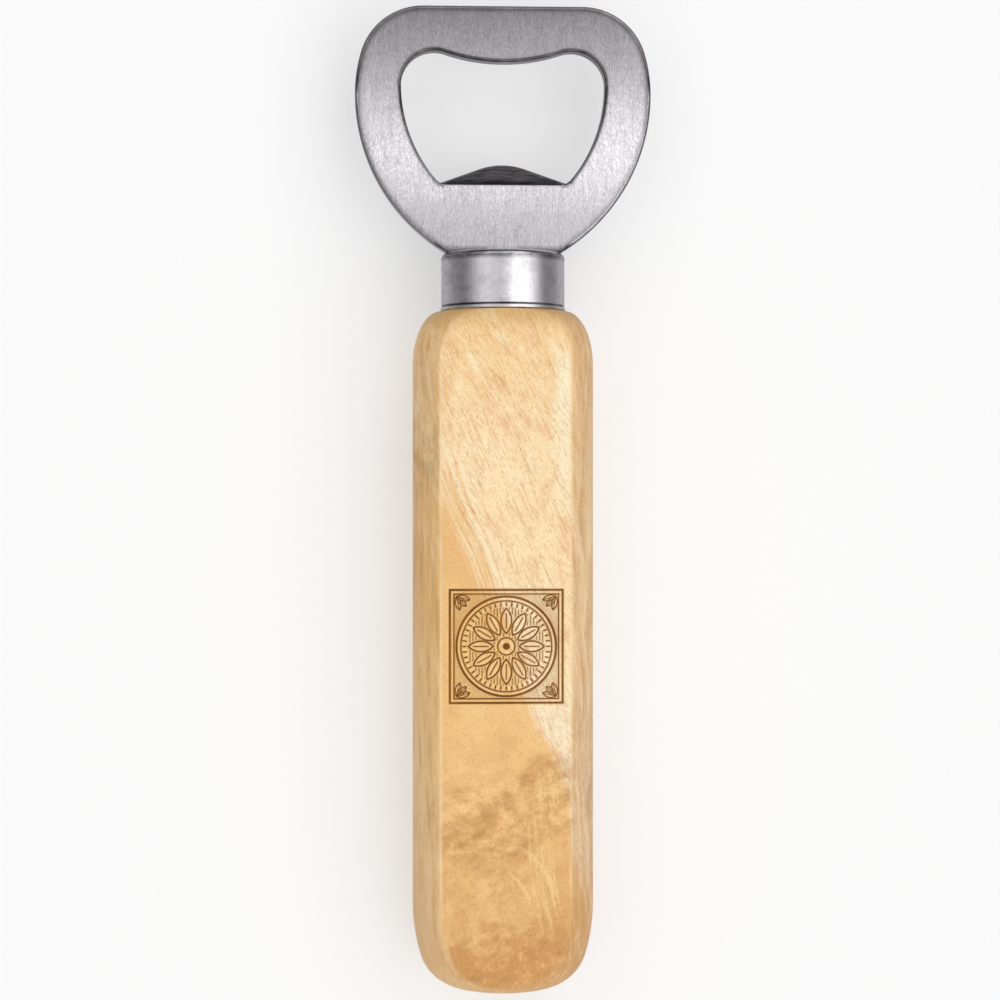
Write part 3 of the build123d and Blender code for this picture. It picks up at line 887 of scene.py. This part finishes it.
# painted highlight along the right edge of the front flat
FACE_EDGE_HIGHLIGHT = srgb(255, 238, 202)
SILK_DARK = srgb(208, 150, 92)
SILK_LIGHT = srgb(255, 234, 192)
PORE_BROWN = srgb(188, 118, 62)
FLECK_LIGHT = srgb(255, 238, 200)
SPECK_BROWN = srgb(188, 128, 70)
SIDE_UPPER = srgb(242, 194, 124)
SIDE_LOWER = srgb(255, 220, 166)
# painted shade: the right side darker than the left
SIDE_RIGHT_SHADE = srgb(202, 155, 103)
DRIFT_LIGHT = srgb(255, 224, 182)
DRIFT_DARK = srgb(200, 150, 92)
UPRIGHT_DARK = srgb(182, 136, 86)
UPRIGHT_LIGHT = srgb(250, 216, 166)
OLIVE = srgb(158, 124, 70)
# painted highlight along the arris
ARRIS_HIGHLIGHT = srgb(255, 238, 196)
# painted shade on the wood just under the ferrule
SHOULDER_SHADE = srgb(190, 148, 84)
SCORCH_HALO = srgb(226, 164, 74)
CHAR_DARK = srgb(98, 52, 2)
CHAR_LIGHT = srgb(128, 76, 6)

EPOXY_DARK = srgb(196, 176, 132)
EPOXY_LIGHT = srgb(226, 210, 168)
EPOXY_CLOUD = 5 / 6


class Wood:
    """Pale pored wood that runs diagonally into a smoother, warmer, mottled part towards the butt."""

    def __init__(self):
        self.material, self.n = new_material("oiled_wood")
        n = self.n
        self.place = n.object_place()
        self.bent = n.warp(self.place, 15.0, 3.0)
        axes = n.add("ShaderNodeSeparateXYZ", {0: self.place})
        self.x, self.y, self.z = axes.outputs[0], axes.outputs[1], axes.outputs[2]
        self.face = n.attribute("face")
        self.side = n.ramp(self.face, 1.0, 0.0)
        self.wander = n.noise(n.place(self.place, (7, 11, 9)), 4.0, 0.6)
        self.cloud = n.noise(n.place(self.bent, (4.2, 3.0, 4.2), 24), 5.0, 0.62, 0.3)
        self.border = self.find_border()
        self.pored = n.ramp(self.border, -1.0, 1.6)
        self.colour = self.ground()

    def spot(self, middle, reach):
        return self.n.spot(self.x, self.y, middle, reach)

    def tint(self, colour, *amounts):
        """Another colour laid over the present one, as strongly as all the amounts together say."""
        self.colour = self.n.mix(self.n.times(*amounts), self.colour, colour)

    def find_border(self):
        """How far inside the pored figure a place is: its end slants, and wanders."""
        n = self.n
        border = n.plus(n.plus(self.x, n.times(n.minus(self.y, 4.8), 0.43)), 9.6)
        border = n.plus(border, n.times(n.minus(self.wander, 0.5), 4.4))
        border = n.plus(border, n.times(n.minus(AXIS_Z, self.z), n.times(self.side, -0.35)))
        return n.plus(border, n.ramp(self.y, -16, -32, 0.0, 2.2))

    def ground(self):
        """The ground colours of the pored part and of the warm part."""
        n, y = self.n, self.y
        blotch = n.noise(n.place(self.bent, (3.0, 5.5, 3.0), 28), 4.0, 0.6)
        pale = n.mix(n.ramp(y, 28, 4), PALE_UPPER, PALE_LOWER)
        pale = n.mix(n.ramp(y, -22, -34, 0.0, 0.8), pale, PALE_BELOW_PANEL)
        pale = n.mix(n.ramp(blotch, 0.5, 0.66, 0.0, 0.7), pale, PALE_ROSY)
        pale = n.mix(n.ramp(blotch, 0.48, 0.34, 0.0, 0.9), pale, PALE_BRIGHT)
        warm = n.mix(n.ramp(y, -4, -26), WARM_UPPER, WARM_LOWER)
        warm = n.mix(n.ramp(y, -40, -68), warm, WARM_BUTT)
        warm = n.mix(n.ramp(self.wander, 0.5, 0.7, 0.0, 0.5), warm, WARM_DARK)
        warm = n.mix(n.ramp(self.wander, 0.46, 0.3, 0.0, 0.5), warm, WARM_BRIGHT)
        return n.mix(self.pored, warm, pale)

    def mottles(self):
        """Brown mottles near the butt, with a yellow island between them."""
        n = self.n
        where = n.plus(self.spot((-3.0, -47.5), (10.5, 8.5)), self.spot((6.5, -43.0), (7.0, 7.5)))
        where = n.plus(where, self.spot((1.0, -67.0), (14.0, 7.0)))
        where = n.plus(where, n.ramp(self.y, -24, -40, 0.0, 0.3), clamp=True)
        fleece = n.noise(n.place(self.bent, (1.5, 1.2, 1.5), 24), 4.0, 0.7)
        shade = n.weighted(((self.cloud, 0.62), (fleece, 0.38)))
        self.tint(MOTTLE_BROWN, n.ramp(shade, 0.34, 0.68), where, 0.86)
        self.tint(MOTTLE_GOLD, n.ramp(shade, 0.52, 0.36), where, 0.36)
        self.tint(ISLAND_YELLOW, self.spot((-1.0, -57.0), (9.5, 5.0)), n.ramp(self.cloud, 0.62, 0.4), 0.6)

    def arches(self):
        """Arched growth rings near the butt and fibres beside them."""
        n = self.n
        off_x, off_y = n.plus(self.x, 4.5), n.plus(self.y, 61.0)
        radius = n.math("SQRT", n.plus(n.math("POWER", off_x, 2.0), n.math("POWER", off_y, 2.0)))
        rings = n.noise(n.add("ShaderNodeCombineXYZ", {0: radius, 1: self.wander}))
        self.tint(ARCH_LIGHT, n.ramp(rings, 0.48, 0.64), self.spot((4.2, -55.0), (5.0, 7.0)), 0.55)
        fibres = n.noise(n.place(self.bent, (0.8, 9.0, 0.8), 4), 3.0, 0.6)
        self.tint(FIBRE_LIGHT, n.ramp(fibres, 0.5, 0.64), self.spot((6.5, -52.0), (5.5, 15.0)), 0.55)

    def border_streaks(self):
        """Pale streaks side by side along the border, darker grain between them, and a painted highlight
        along the right edge of the face.
        """
        n = self.n
        streak = n.noise(n.place(self.bent, (0.62, 30.0, 3.0), 22), 2.0, 0.5)
        near = n.times(n.ramp(n.away(self.border, 0.8), 4.0, 1.2), n.ramp(self.y, -36, -22))
        self.tint(STREAK_LIGHT, n.ramp(streak, 0.46, 0.64), near, 0.7)
        self.tint(STREAK_DARK, n.ramp(streak, 0.46, 0.34), near, 0.45)
        # painted highlight near the right edge of the front flat
        face_edge_highlight = n.plus(self.spot((8.6, 11.0), (2.4, 15.0)), self.spot((8.9, 17.0), (1.5, 6.0)))
        self.tint(FACE_EDGE_HIGHLIGHT, face_edge_highlight, self.face, 0.7)

    def grain(self):
        """Fine silk, pores and flecks that lean with the grain, and specks; returns the relief."""
        n = self.n
        silk = n.noise(n.place(self.bent, (0.34, 6.0, 1.0), 25), 3.0, 0.6)
        lively = n.ramp(self.pored, 0.0, 1.0, 0.22, 1.0)
        self.tint(SILK_DARK, n.ramp(silk, 0.52, 0.72, 0.0, 0.42), lively)
        self.tint(SILK_LIGHT, n.ramp(silk, 0.48, 0.3, 0.0, 0.36), lively)
        long_pores = n.noise(n.place(self.bent, (0.18, 1.5, 0.5), 28), 1.5, 0.55)
        short_pores = n.noise(n.place(self.bent, (0.15, 0.85, 0.35), 32), 1.0, 0.5)
        density = n.noise(n.place(self.place, (2.2, 3.4, 2.2), 28), 2.0, 0.5)
        pores = n.math("MAXIMUM", n.ramp(long_pores, 0.54, 0.66), n.ramp(short_pores, 0.58, 0.7, 0.0, 0.75))
        pores = n.times(pores, n.ramp(density, 0.34, 0.58, 0.35, 1.0))
        pores = n.times(pores, n.ramp(self.pored, 0.0, 1.0, 0.12, 1.0))
        self.tint(PORE_BROWN, pores, 0.38)
        flecks = n.noise(n.place(self.bent, (0.24, 1.9, 0.5), 24, (3, 5, 1)), 1.0, 0.5)
        flecks = n.ramp(flecks, 0.58, 0.72, 0.0, 0.45)
        self.tint(FLECK_LIGHT, flecks, n.ramp(self.pored, 0.0, 1.0, 0.05, 1.0))
        speck = n.noise(n.place(self.place, (0.36, 0.4, 0.36)), 3.0, 0.75)
        self.tint(SPECK_BROWN, n.ramp(speck, 0.5, 0.72), n.ramp(self.y, -20, -60, 0.3, 0.5))
        return n.minus(n.times(speck, 0.2), pores)

    def sides(self):
        """The turned sides: duller, streaked along the length, with painted shade on the right, a painted
        highlight at the arris and painted shade under the ferrule.
        """
        n = self.n
        tan = n.mix(n.ramp(self.y, -10, -50), SIDE_UPPER, SIDE_LOWER)
        # painted shade, darker towards the right side
        tan = n.mix(n.ramp(self.x, -13, 13), tan, SIDE_RIGHT_SHADE)
        self.tint(tan, self.side, n.ramp(self.y, -20, -50, 0.55, 0.5))
        drift = n.noise(n.place(self.bent, (1.8, 13.0, 1.8), 8), 4.0, 0.65)
        streaky = n.times(self.side, n.ramp(self.y, -69, -58, 0.1, 1.0))
        self.tint(DRIFT_LIGHT, streaky, n.ramp(drift, 0.48, 0.68, 0.0, 0.5))
        self.tint(DRIFT_DARK, streaky, n.ramp(drift, 0.48, 0.32, 0.0, 0.45))
        upright_grain = n.noise(n.place(self.bent, (0.8, 15.0, 0.8), 5), 4.0, 0.6)
        self.tint(UPRIGHT_DARK, n.ramp(upright_grain, 0.5, 0.7), self.side, 0.3)
        self.tint(UPRIGHT_LIGHT, n.ramp(upright_grain, 0.46, 0.3), self.side, 0.42)
        olive = n.plus(self.spot((-13.0, 6.0), (3.4, 7.0)), self.spot((13.4, -44.0), (2.6, 5.0)))
        self.tint(OLIVE, olive, n.ramp(self.cloud, 0.36, 0.6), 0.36)
        # painted highlight along the arris, fainter on the right
        arris = n.times(n.attribute("arris"), n.ramp(self.y, -66, -56), n.ramp(self.x, 6, -6, 0.4, 1.0))
        self.tint(ARRIS_HIGHLIGHT, arris, n.ramp(upright_grain, 0.3, 0.6, 0.1, 0.5))
        # painted shade on the wood just under the ferrule
        self.tint(SHOULDER_SHADE, n.ramp(self.y, 24.0, 27.7, 0.0, 0.6))

    def burning(self):
        """The engraving: scorched lines with a faint halo; returns how burnt each place is."""
        n = self.n
        self.tint(SCORCH_HALO, n.ramp(n.attribute("scorch"), 0.0, 0.7, 0.0, 0.36, smooth=False))
        burn = n.attribute("burn")
        char = n.mix(n.ramp(self.wander, 0.4, 0.6), CHAR_DARK, CHAR_LIGHT)
        self.tint(char, burn, 0.95)
        return burn


def wood_material():
    """All of the wood's layers in turn, with an oiled surface that the burnt lines lack."""
    wood = Wood()
    n = wood.n
    wood.mottles()
    wood.arches()
    wood.border_streaks()
    height = wood.grain()
    wood.sides()
    burn = wood.burning()
    rough = n.ramp(burn, 0.0, 1.0, 0.44, 0.8)
    relief = n.bump(height, 0.5, 0.00003)
    n.output(n.surface(Base_Color=wood.colour, Roughness=rough, Specular_IOR_Level=0.25, Normal=relief))
    return wood.material


def epoxy_material():
    """Cloudy yellowish glue round the tang, hidden inside the handle."""
    material, n = new_material("cured_epoxy")
    cloud = n.noise(n.place(n.object_place(), (EPOXY_CLOUD,) * 3), 3.0, 0.6)
    n.output(n.surface(Base_Color=n.mix(cloud, EPOXY_DARK, EPOXY_LIGHT), Roughness=0.35))
    return material


# ---------------------------------------------------------------- pieces


def dress(node, material):
    """A carried-over CAD node keeps its shape and gets a material."""
    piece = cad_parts[node]
    piece.data.materials.clear()
    piece.data.materials.append(material)


dress("ferrule", steel_material("ferrule_steel", 0.19, FERRULE_STEEL, 0.16, 0.36, FERRULE_CREASE_SHADE))
dress("tang_adhesive", epoxy_material())

wooden_handle = build_handle()
wooden_handle.data.materials.append(wood_material())
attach(wooden_handle, "root")
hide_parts("handle")

stamped_head = build_head()
stamped_head.data.materials.append(steel_material("brushed_steel", 0.17, HEAD_STEEL, 0.42, 0.2))
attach(stamped_head, "root")
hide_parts("opener_head")

# ---------------------------------------------------------------- stage

# The surround's brightness round the opener, as (degrees from straight up towards the right, level).
LIGHT_ROUND = (
    (-180, 0.9), (-125, 0.65), (-105, 0.45), (-86, 0.26), (-74, 0.34), (-60, 0.74), (-42, 1.4),
    (-30, 1.6), (-18, 1.15), (-6, 1.05), (4, 1.35), (14, 2.9), (46, 2.9), (58, 1.8), (69, 0.6),
    (84, 0.24), (100, 0.5), (130, 0.9), (180, 0.9),
)

# And along it, as (degrees from straight up towards the head, level). The camera is so far above that
# one degree of this shows in about 7 mm of the head's flat steel.
LIGHT_ALONG = (
    (0, 0.7), (4.4, 0.66), (4.9, 0.54), (5.3, 0.28), (6.2, 0.24), (6.6, 0.8), (7.1, 1.7), (7.7, 1.55),
    (8.2, 0.6), (8.7, 0.18), (9.2, 0.32), (9.7, 0.6), (10.15, 0.05), (13, 0.04), (18, 0.6),
)
BACKDROP = (0.96, 0.96, 0.96, 1)

FLOOR_HALF = 1.5
FLOOR_DROP = 0.00002
FLOOR_GREY = (0.52, 0.52, 0.52, 1)
FLOOR_GLOW = 0.44
FLOOR_MIRRORED = (1.0, 0.98, 1.0, 1)

CAMERA_DISTANCE = 400.0
CAMERA_FIELD = 148.6
CAMERA_LEAN = math.radians(3.0)
CAMERA_AIM = Vector((-0.42, -0.2, AXIS_Z))
SENSOR_WIDTH = 36.0


def world_light():
    """Studio surround: a bright box on the right, a dimmer one on the left, dark around them."""
    world = bpy.data.worlds.new("studio")
    SCENE.world = world
    world.use_nodes = True
    n = Nodes(world.node_tree)
    axes = n.add("ShaderNodeSeparateXYZ", {0: n.add("ShaderNodeTexCoord").outputs["Generated"]})
    degrees = 180 / math.pi
    swing = n.times(n.math("ARCTAN2", axes.outputs[0], axes.outputs[2]), degrees)
    lean = n.times(n.math("ARCSINE", axes.outputs[1]), degrees)
    far = n.ramp(lean, 55, 80, 1.0, 0.2)
    fill = n.math("MULTIPLY_ADD", n.ramp(swing, 7, -5, 0.0, 0.4), n.ramp(lean, 5.6, 6.4), 0.9)
    level = n.times(n.curve(swing, LIGHT_ROUND), n.curve(lean, LIGHT_ALONG), far, fill)
    surround = n.add("ShaderNodeBackground", {0: (1, 1, 1, 1), 1: level}).outputs[0]
    seen = n.add("ShaderNodeBackground", {0: BACKDROP, 1: 1.0}).outputs[0]
    direct = n.add("ShaderNodeLightPath").outputs["Is Camera Ray"]
    choice = n.add("ShaderNodeMixShader", {0: direct, 1: surround, 2: seen})
    n.add("ShaderNodeOutputWorld", {0: choice.outputs[0]})


def floor_material():
    """Pale and matt, but a mid grey where polished steel mirrors it, fading away from the opener."""
    material, n = new_material("pale_floor")
    matt = {"Base_Color": FLOOR_GREY, "Roughness": 0.9, "Specular_IOR_Level": 0.0}
    matt = n.surface(**matt, Emission_Color=(1, 1, 1, 1), Emission_Strength=FLOOR_GLOW)
    axes = n.add("ShaderNodeSeparateXYZ", {0: n.add("ShaderNodeNewGeometry").outputs["Position"]})
    beside = n.ramp(n.away(axes.outputs[0], 0.0), 0.012, 0.06, 0.52, 0.26)
    beyond = n.ramp(axes.outputs[1], 0.08, 0.2, 1.0, 0.6)
    mirrored = n.add("ShaderNodeEmission", {0: FLOOR_MIRRORED, 1: n.times(beside, beyond)}).outputs[0]
    glossy = n.add("ShaderNodeLightPath").outputs["Is Glossy Ray"]
    n.output(n.add("ShaderNodeMixShader", {0: glossy, 1: matt, 2: mirrored}))
    return material


def floor():
    """A square board just under the opener."""
    corners = [(x * FLOOR_HALF, y * FLOOR_HALF, 0) for x, y in ((-1, -1), (1, -1), (1, 1), (-1, 1))]
    mesh = bpy.data.meshes.new("floor")
    mesh.from_pydata(corners, [], [(0, 1, 2, 3)])
    mesh.materials.append(floor_material())
    board = bpy.data.objects.new("floor", mesh)
    board.location.z = -FLOOR_DROP
    SCENE.collection.objects.link(board)


def camera():
    """Straight above the opener, leaning a few degrees to its left."""
    data = bpy.data.cameras.new("camera")
    data.sensor_width = SENSOR_WIDTH
    data.lens = SENSOR_WIDTH * CAMERA_DISTANCE / CAMERA_FIELD
    data.clip_start = 0.01
    view = bpy.data.objects.new("camera", data)
    SCENE.collection.objects.link(view)
    towards = Vector((-math.sin(CAMERA_LEAN), 0, math.cos(CAMERA_LEAN)))
    view.location = (CAMERA_AIM + CAMERA_DISTANCE * towards) * MM
    view.rotation_euler = (0, -CAMERA_LEAN, 0)
    SCENE.camera = view


world_light()
floor()
camera()
SCENE.view_settings.view_transform = "Standard"
